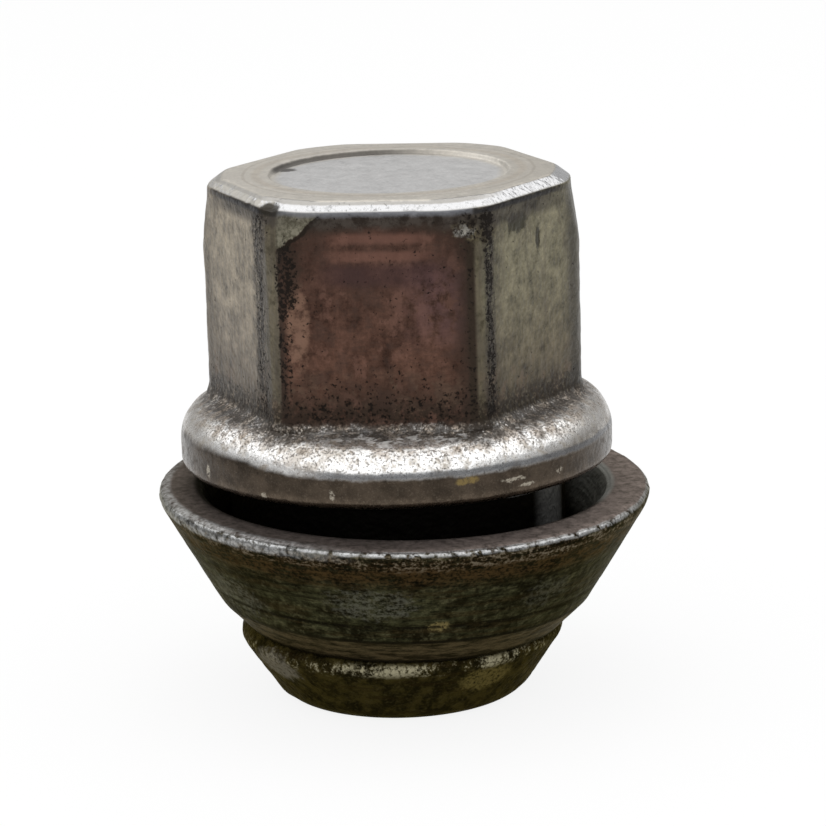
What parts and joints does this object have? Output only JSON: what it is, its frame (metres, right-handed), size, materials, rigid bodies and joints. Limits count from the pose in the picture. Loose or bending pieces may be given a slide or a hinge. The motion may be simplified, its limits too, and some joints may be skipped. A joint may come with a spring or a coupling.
{
  "type": "wheel nut with captive seat washer",
  "caption": "Capped hexagonal wheel nut with a round flange, a threaded blind hole and a loose conical seat washer held on its nose.",
  "frame": {"origin": "on the thread axis, at the foot of the nose that the nut stands on", "axes": "+Z along the thread axis towards the cap, two hexagon flats facing +Y and -Y, two corners on +X and -X"},
  "size_m": [0.0324, 0.0323, 0.0349],
  "materials": {
    "dark_steel": "matte",
    "cap_sheet": "satin",
    "washer_steel": "matte"
  },
  "bodies": {
    "nut": {"nut_core": "dark_steel", "cap": "cap_sheet"},
    "washer": {"seat_washer": "washer_steel"}
  },
  "joints": [
    {"name": "washer_spin", "type": "hinge", "parent": "nut", "child": "washer", "pos_m": [0.00022, -0.00013, 0.00528], "axis": [0.0246, -0.0142, 0.9996], "continuous": true}
  ]
}
